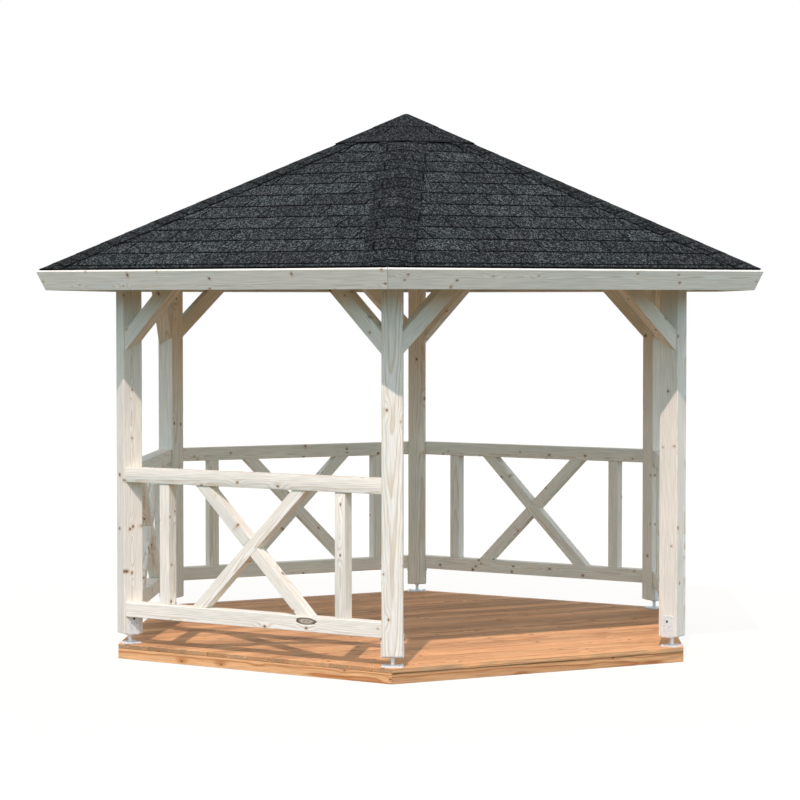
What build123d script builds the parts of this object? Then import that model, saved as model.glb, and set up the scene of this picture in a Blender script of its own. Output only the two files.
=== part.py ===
import os
from math import asin, cos, radians, sin, tan

from build123d import *

os.makedirs("parts", exist_ok=True)

# Hexagonal garden gazebo. Millimetres, +Z up, origin on the ground under the middle of the deck.
# Sides face 30, 90, 150, 210, 270 and 330 degrees and the open one faces -Y.
# Posts stand at 0, 60, 120, 180, 240 and 300 degrees.

# Deck
deck_radius = 1880  # centre to corner
board_thickness = 28
board_overhang = 6  # past the frame
frame_height = 58
frame_width = 45
frame_gap = 1  # at the mitred corners of the frame
joist_spacing = 500
joist_count = 7
joist_clearance = 2

# Posts and their feet
post_size = 115
post_inset = 80  # corner of the deck to the centre of a post
post_gap = 58  # deck to the underside of a post
base_length = 100  # along the radius
base_width = 120
base_thickness = 6
rod_radius = 10
cradle_thickness = 6
cheek_width = 70
cheek_thickness = 5
cheek_height = 120  # above the underside of a post
cheek_clearance = 1

# Rails, balusters and cross bars
rail_size = 84
handrail_height = 1019  # deck to the top of the handrail
bottom_rail_height = 244  # deck to the top of the bottom rail
bar_size = 68
baluster_spacing = 1200
crossing_rise = 360  # top of the bottom rail to the middle of the cross
bar_clearance = 0.5

# Beams over the posts, and the braces under them
headroom = 2079  # deck to the underside of the beams
beam_width = 84
beam_height = 145
brace_size = 84
brace_drop = 393  # underside of the beams to the lowest point of a brace, on the face of its post

# Roof
roof_pitch = 25.05
eave_overhang = 438  # middle of the beams to the lower edge of the roof boards
roof_board_thickness = 19
hip_gap = 2
rafter_depth = 90
rafter_width = 44
rafter_spacing = 700
rafter_clearance = 1
rafter_notch = 14  # depth at the outer face of a beam
hip_rafter_width = 68
hub_apothem = 130
hub_height = 200
fascia_thickness = 19
fascia_height = 117
fascia_gap = 1

# Shingles, and the caps bent over the hips and the peak
shingle_thickness = 8
hip_cap_width = 290
hip_cap_thickness = 4
hip_bend_width = 140  # the part of a hip cap that is bent; the shingles stop short of it
peak_cap_radius = 480
peak_cap_thickness = 8

side_names = {
    270: "front",
    330: "front_right",
    30: "back_right",
    90: "back",
    150: "back_left",
    210: "front_left",
}
post_names = {
    240: "front_left",
    300: "front_right",
    0: "right",
    60: "back_right",
    120: "back_left",
    180: "left",
}
open_side = 270

deck_top = frame_height + board_thickness
frame_apothem = deck_radius * cos(radians(30)) - board_overhang
post_radius = deck_radius - post_inset
post_bottom = deck_top + post_gap
cheek_top = post_bottom + cheek_height
handrail_top = deck_top + handrail_height
bottom_rail_top = deck_top + bottom_rail_height
beam_bottom = deck_top + headroom
beam_top = beam_bottom + beam_height
# Rails, braces and beams lie on the middle of the side faces of the posts.
side_apothem = post_radius * cos(radians(30)) + post_size / 2 * sin(radians(30))
# The same middle, measured along a side from its centre to the face of the post.
post_reach = side_apothem * tan(radians(30)) - post_size / 2 / cos(radians(30))
# The roof starts from the rafters, which are notched over the outer edges of the beams.
pitch_tan = tan(radians(roof_pitch))
eave_apothem = side_apothem + eave_overhang
roof_depth = (roof_board_thickness + rafter_depth) / cos(radians(roof_pitch))
eave_height = beam_top - rafter_notch + roof_depth - (eave_overhang - beam_width / 2) * pitch_tan
reach = 3 * deck_radius  # longer than any piece, for stock that is then cut to length


def direction(angle):
    return Vector(cos(radians(angle)), sin(radians(angle)), 0)


def side_plane(angle, distance):
    """Upright plane across a side: X runs to the right seen from outside, Y is the height."""
    return Plane(origin=direction(angle) * distance, x_dir=direction(angle + 90), z_dir=direction(angle))


def radial_plane(angle):
    """Upright plane through the centre line: X is the distance from it, Y is the height."""
    return Plane(origin=(0, 0, 0), x_dir=direction(angle), z_dir=direction(angle - 90))


def post_face(angle, turn):
    """Side face of a post; turn is 1 for the face towards the next side round, -1 for the other."""
    normal = direction(angle + 90) * turn
    centre = direction(angle) * post_radius + normal * (post_size / 2)
    return Plane(origin=centre, x_dir=direction(angle), z_dir=normal)


def cut_between_posts(angle):
    split(bisect_by=post_face(angle - 30, 1), keep=Keep.TOP)
    split(bisect_by=post_face(angle + 30, -1), keep=Keep.TOP)


def mitre(angle, gap):
    for turn in (-1, 1):
        normal = direction(angle + 30 * turn + 90 * turn)
        split(bisect_by=Plane(origin=normal * (-gap / 2), z_dir=normal), keep=Keep.BOTTOM)


def save(piece, label):
    piece.part.label = label
    export_step(piece.part, f"parts/{label}.step")


# Posts and their feet
for angle, name in post_names.items():
    stand = Plane(origin=direction(angle) * post_radius, x_dir=direction(angle), z_dir=(0, 0, 1))

    with BuildPart() as post:
        with BuildSketch(stand.offset(post_bottom)):
            Rectangle(post_size, post_size)
        extrude(amount=beam_bottom - post_bottom)
    save(post, f"post_{name}")

    with BuildPart() as foot:
        with BuildSketch(stand.offset(deck_top)):
            Rectangle(base_length, base_width)
        extrude(amount=base_thickness)
        with BuildSketch(stand.offset(deck_top + base_thickness)):
            Circle(rod_radius)
        extrude(amount=post_gap - base_thickness - cradle_thickness)
        with BuildSketch(stand.offset(post_bottom - cradle_thickness)):
            Rectangle(cheek_width, post_size + 2 * cheek_thickness)
        extrude(amount=cradle_thickness)
        with BuildSketch(stand.offset(post_bottom)):
            with GridLocations(cheek_width, post_size + cheek_thickness, 1, 2):
                Rectangle(cheek_width, cheek_thickness)
        extrude(amount=cheek_height)
    save(foot, f"post_foot_{name}")

# Top beams, mitred over the posts
beams = []
for angle, name in side_names.items():
    with BuildPart() as beam:
        with BuildSketch(side_plane(angle, side_apothem - beam_width / 2)):
            with Locations((0, beam_bottom + beam_height / 2)):
                Rectangle(reach, beam_height)
        extrude(amount=beam_width)
        mitre(angle, 0)
    save(beam, f"top_beam_{name}")
    beams.append(beam.part)

# Braces from the posts up to the beam, a pair on every side
brace_slope = brace_size / cos(radians(45))  # a brace measured upright
# A brace comes lower on the outer corner of the post than on the middle of its face.
brace_line = beam_bottom - brace_drop + brace_size / 2 * tan(radians(30))
for angle, name in side_names.items():
    with BuildPart() as braces:
        with BuildSketch(side_plane(angle, side_apothem - brace_size / 2)):
            for hand in (-1, 1):
                with BuildLine():
                    Polyline(
                        (hand * (post_reach + brace_line - beam_bottom), beam_bottom),
                        (hand * (post_reach + brace_line - beam_bottom + brace_slope), beam_bottom),
                        (hand * (post_reach + post_size), brace_line - post_size + brace_slope),
                        (hand * (post_reach + post_size), brace_line - post_size),
                        close=True,
                    )
                make_face()
        extrude(amount=brace_size)
        cut_between_posts(angle)
    save(braces, f"braces_{name}")

# Railings on the five closed sides
handrail_bottom = handrail_top - rail_size
crossing_height = bottom_rail_top + crossing_rise
top_run = handrail_bottom - crossing_height
bar_slope = bar_size / 2 / cos(radians(45))  # half a cross bar measured level or upright
gap_shift = bar_clearance * cos(radians(45))
for angle, name in side_names.items():
    if angle == open_side:
        continue

    with BuildPart() as rails:
        with BuildSketch(side_plane(angle, side_apothem - rail_size / 2)):
            with Locations((0, handrail_top - rail_size / 2), (0, bottom_rail_top - rail_size / 2)):
                Rectangle(reach, rail_size)
        extrude(amount=rail_size)
        cut_between_posts(angle)
        # notches over the cheeks of the post feet
        for face in (post_face(angle - 30, 1), post_face(angle + 30, -1)):
            with BuildSketch(face):
                Rectangle(cheek_width + 2 * cheek_clearance, 2 * (cheek_top + cheek_clearance))
            extrude(amount=cheek_thickness + cheek_clearance, mode=Mode.SUBTRACT)
    save(rails, f"rails_{name}")

    with BuildPart() as infill:
        with BuildSketch(side_plane(angle, side_apothem - bar_size / 2)):
            with Locations((0, (handrail_bottom + bottom_rail_top) / 2)):
                with GridLocations(baluster_spacing, bar_size, 2, 1):
                    Rectangle(bar_size, handrail_bottom - bottom_rail_top)
            with BuildLine():
                Polyline(
                    (-crossing_rise - bar_slope, bottom_rail_top),
                    (-crossing_rise + bar_slope, bottom_rail_top),
                    (top_run + bar_slope, handrail_bottom),
                    (top_run - bar_slope, handrail_bottom),
                    close=True,
                )
            make_face()
            with BuildLine():
                Polyline(
                    (-top_run - bar_slope, handrail_bottom),
                    (-top_run + bar_slope, handrail_bottom),
                    (-gap_shift, crossing_height + bar_slope + gap_shift),
                    (-bar_slope - gap_shift, crossing_height + gap_shift),
                    close=True,
                )
            make_face()
            with BuildLine():
                Polyline(
                    (crossing_rise + bar_slope, bottom_rail_top),
                    (crossing_rise - bar_slope, bottom_rail_top),
                    (gap_shift, crossing_height - bar_slope - gap_shift),
                    (bar_slope + gap_shift, crossing_height - gap_shift),
                    close=True,
                )
            make_face()
        extrude(amount=bar_size)
    save(infill, f"railing_infill_{name}")

# Deck boards, as one slab
with BuildPart() as deck_boards:
    with BuildSketch(Plane.XY.offset(frame_height)):
        RegularPolygon(deck_radius, 6)
    extrude(amount=board_thickness)
save(deck_boards, "deck_boards")

# Rim of the deck frame, mitred at the corners
with BuildPart() as deck_rim:
    with BuildSketch(Plane.XY):
        RegularPolygon(frame_apothem, 6, major_radius=False)
        RegularPolygon(frame_apothem - frame_width, 6, major_radius=False, mode=Mode.SUBTRACT)
        for angle in (0, 60, 120):
            with Locations(Location((0, 0, 0), (0, 0, angle))):
                Rectangle(reach, frame_gap, mode=Mode.SUBTRACT)
    extrude(amount=frame_height)
save(deck_rim, "deck_rim")

# Joists across the deck, between the rim boards
with BuildPart() as deck_joists:
    with BuildSketch(Plane.XY):
        with GridLocations(joist_spacing, frame_width, joist_count, 1):
            Rectangle(frame_width, reach)
        inner_apothem = frame_apothem - frame_width - joist_clearance
        RegularPolygon(inner_apothem, 6, major_radius=False, mode=Mode.INTERSECT)
    extrude(amount=frame_height)
save(deck_joists, "deck_joists")


def roof_plane(angle, lift):
    """Top of the roof boards on one side, moved outwards by lift."""
    normal = direction(angle) * sin(radians(roof_pitch)) + Vector(0, 0, cos(radians(roof_pitch)))
    origin = direction(angle) * eave_apothem + Vector(0, 0, eave_height)
    return Plane(origin=origin + normal * lift, x_dir=direction(angle + 90), z_dir=normal)


def eave_plane(angle):
    """Square cut at the lower end of the roof boards and rafters, where the fascia is fixed."""
    normal = direction(angle) * cos(radians(roof_pitch)) - Vector(0, 0, sin(radians(roof_pitch)))
    origin = direction(angle) * eave_apothem + Vector(0, 0, eave_height)
    return Plane(origin=origin, x_dir=direction(angle + 90), z_dir=normal)


def under_roof(lift):
    """All the space under the six roof planes and inside the six eave planes."""
    with BuildPart() as block:
        with BuildSketch(Plane.XY):
            RegularPolygon(2 * deck_radius, 6)
        extrude(amount=2 * eave_height)
        for angle in side_names:
            split(bisect_by=roof_plane(angle, lift), keep=Keep.BOTTOM)
            split(bisect_by=eave_plane(angle), keep=Keep.BOTTOM)
    return block.part


def hip_slots(width):
    """Upright slots along the six hips."""
    with BuildPart() as slots:
        for angle in (0, 60, 120):
            with BuildSketch(radial_plane(angle).offset(-width / 2)):
                Rectangle(reach, 2 * reach)
            extrude(amount=width)
    return slots.part


boards_top = under_roof(0)
shingles_top = under_roof(shingle_thickness)

with BuildPart() as roof_boards:
    add(boards_top)
    add(under_roof(-roof_board_thickness), mode=Mode.SUBTRACT)
    add(hip_slots(hip_gap), mode=Mode.SUBTRACT)
save(roof_boards, "roof_boards")

with BuildPart() as shingles:
    add(shingles_top)
    add(boards_top, mode=Mode.SUBTRACT)
    add(hip_slots(hip_bend_width), mode=Mode.SUBTRACT)
save(shingles, "shingles")

# A hip cap is drawn square to its hip: flat on the shingles to both sides, bent over the hip.
hip_tan = pitch_tan * cos(radians(30))
hip_fall = asin(sin(radians(roof_pitch)) * sin(radians(30)))  # slope of the faces across a hip
eave_corner = eave_apothem / cos(radians(30))


def cap_points(level, bend_radius):
    """Edge, end of the bend and middle of the bend, for a surface at a level over the roof boards."""
    ridge = level / cos(hip_fall)
    half = hip_cap_width / 2
    edge = (half * cos(hip_fall), ridge - half * sin(hip_fall))
    bend = (bend_radius * sin(hip_fall), ridge - bend_radius * sin(hip_fall) * tan(hip_fall))
    middle = (0, ridge - bend_radius / cos(hip_fall) + bend_radius)
    return edge, bend, middle


def mirrored(point):
    return (-point[0], point[1])


def hip_cap(angle):
    under_radius = hip_bend_width / 2 / sin(hip_fall)
    edge, bend, middle = cap_points(shingle_thickness, under_radius)
    top_edge, top_bend, top_middle = cap_points(
        shingle_thickness + hip_cap_thickness, under_radius + hip_cap_thickness
    )
    hip_direction = direction(angle) - Vector(0, 0, hip_tan)
    corner = direction(angle) * eave_corner + Vector(0, 0, eave_height)
    across = Plane(origin=corner, x_dir=direction(angle + 90), z_dir=hip_direction)
    with BuildPart() as strip:
        with BuildSketch(across.offset(hip_cap_width)):
            with BuildLine():
                Polyline(mirrored(bend), mirrored(edge), mirrored(top_edge), mirrored(top_bend))
                ThreePointArc(mirrored(top_bend), top_middle, top_bend)
                Polyline(top_bend, top_edge, edge, bend)
                ThreePointArc(bend, middle, mirrored(bend))
            make_face()
        extrude(amount=-hip_cap_width - eave_corner)
        split(bisect_by=eave_plane(angle - 30), keep=Keep.BOTTOM)
        split(bisect_by=eave_plane(angle + 30), keep=Keep.BOTTOM)
    return strip.part


with BuildPart() as peak_block:
    with BuildSketch(Plane.XY):
        RegularPolygon(peak_cap_radius, 6)
    extrude(amount=2 * eave_height)

with BuildPart() as hip_caps:
    for angle in post_names:
        add(hip_cap(angle))
    add(peak_block.part, mode=Mode.SUBTRACT)
save(hip_caps, "hip_caps")

with BuildPart() as peak_cap:
    add(peak_block.part)
    add(under_roof(shingle_thickness + peak_cap_thickness), mode=Mode.INTERSECT)
    add(shingles_top, mode=Mode.SUBTRACT)
save(peak_cap, "peak_cap")

# Height over the centre of the underside of the roof boards, and the slopes that fall from there
peak_height = eave_height + eave_apothem * pitch_tan - roof_board_thickness / cos(radians(roof_pitch))
hub_corner = hub_apothem / cos(radians(15))

with BuildPart() as roof_hub:
    with BuildSketch(Plane.XY.offset(peak_height - hub_corner * pitch_tan - hub_height)):
        RegularPolygon(hub_corner, 12, rotation=15)
    extrude(amount=hub_height)
save(roof_hub, "roof_hub")


def rafter(plane, width, start, peak, slope):
    """Rafter centred on an upright plane, its top edge falling from the given height over the centre."""
    end = 2 * eave_apothem
    depth = rafter_depth * (1 + slope * slope) ** 0.5
    with BuildPart() as bar:
        with BuildSketch(plane.offset(-width / 2)):
            with BuildLine():
                Polyline(
                    (start, peak - start * slope),
                    (end, peak - end * slope),
                    (end, peak - end * slope - depth),
                    (start, peak - start * slope - depth),
                    close=True,
                )
            make_face()
        extrude(amount=width)
    return bar.part


def fit_rafters():
    """Cut rafters off at the eave and notch them over the beams."""
    for angle in side_names:
        split(bisect_by=eave_plane(angle), keep=Keep.BOTTOM)
    for beam_part in beams:
        add(beam_part, mode=Mode.SUBTRACT)


# A hip rafter lies low enough for its top corners to stay under the boards that fall away beside it.
hip_drop = hip_rafter_width / 2 * pitch_tan * sin(radians(30))
with BuildPart() as hip_rafters:
    for angle in post_names:
        add(rafter(radial_plane(angle), hip_rafter_width, hub_apothem, peak_height - hip_drop, hip_tan))
    fit_rafters()
save(hip_rafters, "hip_rafters")

# One rafter in the middle of each side, and one to either side of it that ends on the hip rafter
hip_distance = rafter_spacing / tan(radians(30))
with BuildPart() as rafters:
    for angle in side_names:
        middle = radial_plane(angle)
        add(rafter(middle, rafter_width, hub_apothem, peak_height, pitch_tan))
        for offset in (-rafter_spacing, rafter_spacing):
            add(rafter(middle.offset(offset), rafter_width, hip_distance, peak_height, pitch_tan))
    fit_rafters()
    add(hip_slots(hip_rafter_width + 2 * rafter_clearance), mode=Mode.SUBTRACT)
save(rafters, "rafters")

# Fascia boards, square to the roof and mitred at the corners
fascia_boards = []
for angle in side_names:
    with BuildPart() as fascia_board:
        with BuildSketch(eave_plane(angle)):
            with Locations((0, -fascia_height / 2)):
                Rectangle(reach, fascia_height)
        extrude(amount=fascia_thickness)
        mitre(angle, fascia_gap)
    fascia_boards.append(fascia_board.part)

with BuildPart() as fascia:
    add(fascia_boards)
save(fascia, "fascia")
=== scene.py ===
import random
from math import asin, atan, atan2, cos, floor, pi, radians, sin, sqrt, tan

import bmesh
import bpy
from mathutils import Matrix, Vector


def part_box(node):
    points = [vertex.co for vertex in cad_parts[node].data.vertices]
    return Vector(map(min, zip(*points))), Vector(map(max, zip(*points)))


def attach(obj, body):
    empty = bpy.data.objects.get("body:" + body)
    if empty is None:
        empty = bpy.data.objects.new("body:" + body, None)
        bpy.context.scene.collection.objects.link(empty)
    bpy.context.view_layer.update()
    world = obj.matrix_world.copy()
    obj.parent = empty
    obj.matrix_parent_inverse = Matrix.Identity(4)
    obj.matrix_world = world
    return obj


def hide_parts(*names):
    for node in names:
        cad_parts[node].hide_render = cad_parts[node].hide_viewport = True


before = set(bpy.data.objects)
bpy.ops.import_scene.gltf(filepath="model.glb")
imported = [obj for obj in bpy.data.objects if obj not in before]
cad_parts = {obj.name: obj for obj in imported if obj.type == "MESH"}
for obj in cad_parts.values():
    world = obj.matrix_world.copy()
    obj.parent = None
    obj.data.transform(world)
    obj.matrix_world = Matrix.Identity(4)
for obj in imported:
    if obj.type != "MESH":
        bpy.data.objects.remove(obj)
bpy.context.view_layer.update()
print("frame loaded:", len(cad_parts), "solids")

# Metres, Z up. Sides and posts are named by the angle they face, 270 being the open side at -Y.
sideNames = {
    270: "front",
    330: "front_right",
    30: "back_right",
    90: "back",
    150: "back_left",
    210: "front_left",
}
postNames = {
    240: "front_left",
    300: "front_right",
    0: "right",
    60: "back_right",
    120: "back_left",
    180: "left",
}
railedSides = [name for angle, name in sideNames.items() if angle != 270]
up = Vector((0, 0, 1))


def direction(angle):
    return Vector((cos(radians(angle)), sin(radians(angle)), 0))


def linear(hexColour):  # sRGB hex to the linear colour a shader takes
    shares = [int(hexColour[i:i + 2], 16) / 255 for i in (1, 3, 5)]
    return [c / 12.92 if c < 0.04045 else ((c + 0.055) / 1.055) ** 2.4 for c in shares] + [1]


def addNode(tree, kind, settings=None, links=None):
    node = tree.nodes.new("ShaderNode" + kind)
    for name, value in (settings or {}).items():
        if isinstance(name, int) or name in node.inputs:
            node.inputs[name].default_value = value
        else:
            setattr(node, name, value)
    for name, socket in (links or {}).items():
        tree.links.new(socket, node.inputs[name])
    return node


def newMaterial(name):
    material = bpy.data.materials.new(name)
    material.use_nodes = True
    material.node_tree.nodes.clear()
    return material, material.node_tree


def setStops(ramp, stops):  # colour ramp from a list of (place, sRGB hex)
    elements = ramp.color_ramp.elements
    while len(elements) < len(stops):
        elements.new(0.5)
    for element, (place, colour) in zip(elements, stops):
        element.position = place
        element.color = linear(colour)


# Planed spruce, left bare: growth rings cut by the planes of each timber, fine fibres, small brown knots.
spruceLook = {
    "early": "#FBF7EA",
    "late": "#E3D4BA",
    "grey": "#EEEFE4",
    "knotPale": "#A07D5A",
    "knotDark": "#3A2A1E",
    "knotRim": "#C9AC8A",
    "fibreScale": (7, 135, 135),  # a hand long, drawn about 7 mm wide so that they show
    "fibreDark": 0.86,
    "fibrePale": 1.06,
    "endDark": 0.86,
    "toneSpread": 0.03,
    "ring": 0.0037,  # real rings are 2 to 4 mm
    "lateStart": 0.52,
    "latePeak": 0.9,
    "greyScale": (1.3, 6, 6),  # weathered patches
    "wander": 0.016,  # how far rings stray, and in waves of what length
    "wanderScale": (0.7, 2.5, 2.5),
    "ripple": 0.006,
    "rippleScale": (4, 14, 14),
    "knotStep": 0.28,  # one chance of a branch in each length
    "knotsRound": 9,  # and in each of these shares of the turn round the pith
    "knotShare": 0.42,
    "knotSize": 0.0068,
    "knotSmallest": 0.3,  # as a share of the largest
    "knotShort": 0.7,  # lengths shrink by this much, so that knots are longer along the grain
    "knotBlur": (0.0015, -0.002),  # fades in from outside its edge to inside
    "knotCover": 0.9,
    "rimWidth": 0.009,
    "rimCover": 0.55,
    "bulge": 0.005,  # the rings swell round a knot
    "bulgeWidth": 0.03,
    "bulgeShort": 0.45,
    "edgeGrey": "#EEEFE4",
    "edgePatches": 5,  # a metre
    "roughness": 0.62,
    "shine": 0.3,
    "bump": 0.25,
}
# One rail with a large knot: grey brown heart, dark bark rim.
knottyLook = dict(
    spruceLook,
    eyeSide=210,
    eyeAlong=0.381,
    eyeOut=1.630,
    eyeUp=0.305,
    eyeSize=(0.072, 0.025, 0.0205),
    eyeRagged=0.35,  # how far its rim strays with the fibres
    eyeShift=-0.17,
    eyeRim=0.92,
    eyeStops=[  # from its heart to its rim
        (0, "#EDE7DC"),
        (0.2, "#8D7F6B"),
        (0.45, "#C6BBAA"),
        (0.7, "#8F8069"),
        (0.84, "#54473A"),
        (1, "#85786A"),
    ],
)
# The same spruce left rough for the roof, a shade greyer. Its cooler, greyer tint is painted shade, the
# look of the fascia in shade.
roofLookShadeTinted = dict(
    spruceLook,
    early="#F6F5EA",
    late="#E4DCC9",
    grey="#ECF0E6",
    knotShare=0.3,
    knotSize=0.005,
)
# Stained larch boards: orange brown with darker growth lines, the outer edges gone grey brown in patches.
deckLook = dict(
    spruceLook,
    early="#F0BA83",
    late="#BA7A47",
    grey="#DEA876",
    knotPale="#A0653D",
    knotDark="#5C3722",
    knotRim="#B97E50",
    fibreDark=0.76,
    fibrePale=1.1,
    endDark=0.84,
    toneSpread=0.26,
    ring=0.009,  # real rings are 2 to 4 mm; drawn wider so that they show
    knotShare=0.3,
    edgeGrey="#BC9F79",
    roughness=0.7,
)


def woodMaterial(name, look):
    material, tree = newMaterial(name)
    # metres along, across and through the timber, from its pith
    grain = addNode(tree, "Attribute", {"attribute_name": "grain"}).outputs["Vector"]
    board = addNode(tree, "Attribute", {"attribute_name": "board"}).outputs["Vector"]
    boardParts = addNode(tree, "SeparateXYZ", links={"Vector": board})

    # rings wander a little along the timber
    bent = grain
    for sway, detail in (("wander", 2), ("ripple", 1)):
        spread = addNode(tree, "Mapping", {"Scale": look[sway + "Scale"]}, {"Vector": grain})
        noise = addNode(tree, "TexNoise", {"Scale": 1, "Detail": detail}, {"Vector": spread.outputs[0]})
        centred = addNode(
            tree, "VectorMath", {"operation": "SUBTRACT", 1: (0.5, 0.5, 0.5)}, {0: noise.outputs["Color"]}
        ).outputs[0]
        sideways = (0, look[sway], look[sway])
        bent = addNode(
            tree, "VectorMath", {"operation": "MULTIPLY_ADD", 1: sideways}, {0: centred, 2: bent}
        ).outputs[0]

    # knots are branches that run out from the pith: spots on a map of length against the turn round it
    parts = addNode(tree, "SeparateXYZ", links={"Vector": grain})
    radial = addNode(tree, "VectorMath", {"operation": "MULTIPLY", 1: (0, 1, 1)}, {0: grain})
    reach = addNode(tree, "VectorMath", {"operation": "LENGTH"}, {0: radial.outputs[0]}).outputs["Value"]
    turn = addNode(
        tree, "Math", {"operation": "ARCTAN2"}, {0: parts.outputs["Y"], 1: parts.outputs["Z"]}
    ).outputs[0]
    perRadian = look["knotsRound"] / (2 * pi)
    turns = addNode(tree, "Math", {"operation": "MULTIPLY", 1: perRadian}, {0: turn}).outputs[0]
    steps = addNode(
        tree, "Math", {"operation": "DIVIDE", 1: look["knotStep"]}, {0: parts.outputs["X"]}
    ).outputs[0]
    chart = addNode(tree, "CombineXYZ", links={"X": steps, "Y": turns}).outputs[0]
    spots = addNode(tree, "TexVoronoi", {"voronoi_dimensions": "2D", "Scale": 1}, {"Vector": chart})
    fromSpot = addNode(
        tree, "VectorMath", {"operation": "SUBTRACT"}, {0: chart, 1: spots.outputs["Position"]}
    )
    stretch = addNode(tree, "Math", {"operation": "DIVIDE", 1: perRadian}, {0: reach}).outputs[0]
    scale = addNode(
        tree, "CombineXYZ", {"X": look["knotStep"] * look["knotShort"]}, {"Y": stretch}
    ).outputs[0]
    inMetres = addNode(tree, "VectorMath", {"operation": "MULTIPLY"}, {0: fromSpot.outputs[0], 1: scale})
    away = addNode(tree, "VectorMath", {"operation": "LENGTH"}, {0: inMetres.outputs[0]}).outputs["Value"]
    dice = addNode(tree, "SeparateColor", links={"Color": spots.outputs["Color"]})
    chance = dice.outputs[0]
    least = 1 - look["knotShare"]
    smallest = look["knotSmallest"] * look["knotSize"]
    radius = addNode(
        tree,
        "MapRange",
        {"From Min": least, "From Max": 1, "To Min": smallest, "To Max": look["knotSize"]},
        {"Value": chance},
    ).outputs[0]
    kept = addNode(
        tree, "MapRange", {"From Min": least, "From Max": least + 0.01}, {"Value": chance}
    ).outputs[0]
    edge = addNode(tree, "Math", {"operation": "SUBTRACT"}, {0: away, 1: radius}).outputs[0]
    inside = addNode(
        tree,
        "MapRange",
        {"From Min": look["knotBlur"][0], "From Max": look["knotBlur"][1], "To Max": look["knotCover"]},
        {"Value": edge},
    ).outputs[0]
    rim = addNode(
        tree,
        "MapRange",
        {"From Min": look["rimWidth"], "From Max": 0, "To Max": look["rimCover"]},
        {"Value": edge},
    ).outputs[0]
    shortened = (look["bulgeShort"], 1, 1)
    wide = addNode(tree, "VectorMath", {"operation": "MULTIPLY", 1: shortened}, {0: inMetres.outputs[0]})
    nearby = addNode(tree, "VectorMath", {"operation": "LENGTH"}, {0: wide.outputs[0]}).outputs["Value"]
    bulge = addNode(
        tree,
        "MapRange",
        {
            "interpolation_type": "SMOOTHSTEP",
            "From Min": look["bulgeWidth"],
            "From Max": 0,
            "To Max": look["bulge"],
        },
        {"Value": nearby},
    ).outputs[0]
    insideKept, rimKept, bulgeKept = (
        addNode(tree, "Math", {"operation": "MULTIPLY"}, {0: share, 1: kept}).outputs[0]
        for share in (inside, rim, bulge)
    )

    # rings round the pith: pale early wood, then a darker late line
    flat = addNode(tree, "VectorMath", {"operation": "MULTIPLY", 1: (0, 1, 1)}, {0: bent})
    fromPith = addNode(tree, "VectorMath", {"operation": "LENGTH"}, {0: flat.outputs[0]}).outputs["Value"]
    pushed = addNode(tree, "Math", {"operation": "ADD"}, {0: fromPith, 1: bulgeKept}).outputs[0]
    counted = addNode(tree, "Math", {"operation": "DIVIDE", 1: look["ring"]}, {0: pushed}).outputs[0]
    share = addNode(tree, "Math", {"operation": "FRACT"}, {0: counted}).outputs[0]
    late = addNode(tree, "ValToRGB", links={"Fac": share})
    start, peak = look["lateStart"], look["latePeak"]
    setStops(late, [(0, "#000000"), (start, "#000000"), (peak, "#FFFFFF"), (1, "#000000")])

    broad = addNode(tree, "Mapping", {"Scale": look["greyScale"]}, {"Vector": grain}).outputs[0]
    drift = addNode(tree, "TexNoise", {"Scale": 1, "Detail": 2}, {"Vector": broad}).outputs["Fac"]
    greying = addNode(tree, "MapRange", {"From Min": 0.4, "From Max": 0.7}, {"Value": drift}).outputs[0]
    ground = addNode(
        tree,
        "Mix",
        {"data_type": "RGBA", 6: linear(look["early"]), 7: linear(look["grey"])},
        {0: greying},
    ).outputs[2]
    ringed = addNode(
        tree, "Mix", {"data_type": "RGBA", 7: linear(look["late"])}, {0: late.outputs["Color"], 6: ground}
    ).outputs[2]

    # fibres, and the tones that they, the timber, its ends and its weathered edges have
    long = addNode(tree, "Mapping", {"Scale": look["fibreScale"]}, {"Vector": bent}).outputs[0]
    fibre = addNode(tree, "TexNoise", {"Scale": 1, "Detail": 3}, {"Vector": long}).outputs["Fac"]
    fibreShade = addNode(
        tree,
        "MapRange",
        {"From Min": 0.3, "From Max": 0.7, "To Min": look["fibreDark"], "To Max": look["fibrePale"]},
        {"Value": fibre},
    ).outputs[0]
    toneShade = addNode(
        tree,
        "MapRange",
        {
            "From Min": -1,
            "From Max": 1,
            "To Min": 1 - look["toneSpread"],
            "To Max": 1 + look["toneSpread"] / 2,
        },
        {"Value": boardParts.outputs["X"]},
    ).outputs[0]
    endShade = addNode(
        tree, "MapRange", {"To Min": 1, "To Max": look["endDark"]}, {"Value": boardParts.outputs["Y"]}
    ).outputs[0]
    place = addNode(tree, "TexCoord").outputs["Object"]
    blotch = addNode(
        tree, "TexNoise", {"Scale": look["edgePatches"], "Detail": 5, "Roughness": 0.6}, {"Vector": place}
    ).outputs["Fac"]
    patchy = addNode(
        tree, "MapRange", {"From Min": 0.42, "From Max": 0.62, "To Max": 0.75}, {"Value": blotch}
    ).outputs[0]
    weathered = addNode(
        tree, "Math", {"operation": "MULTIPLY"}, {0: patchy, 1: boardParts.outputs["Z"]}
    ).outputs[0]
    ringed = addNode(
        tree, "Mix", {"data_type": "RGBA", 7: linear(look["edgeGrey"])}, {0: weathered, 6: ringed}
    ).outputs[2]
    shade = fibreShade
    for other in (toneShade, endShade):
        shade = addNode(tree, "Math", {"operation": "MULTIPLY"}, {0: shade, 1: other}).outputs[0]
    shaded = addNode(tree, "VectorMath", {"operation": "SCALE"}, {0: ringed, "Scale": shade}).outputs[0]
    rimmed = addNode(
        tree, "Mix", {"data_type": "RGBA", 7: linear(look["knotRim"])}, {0: rimKept, 6: shaded}
    ).outputs[2]
    knotColour = addNode(
        tree,
        "Mix",
        {"data_type": "RGBA", 6: linear(look["knotDark"]), 7: linear(look["knotPale"])},
        {0: dice.outputs[1]},
    ).outputs[2]
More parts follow.
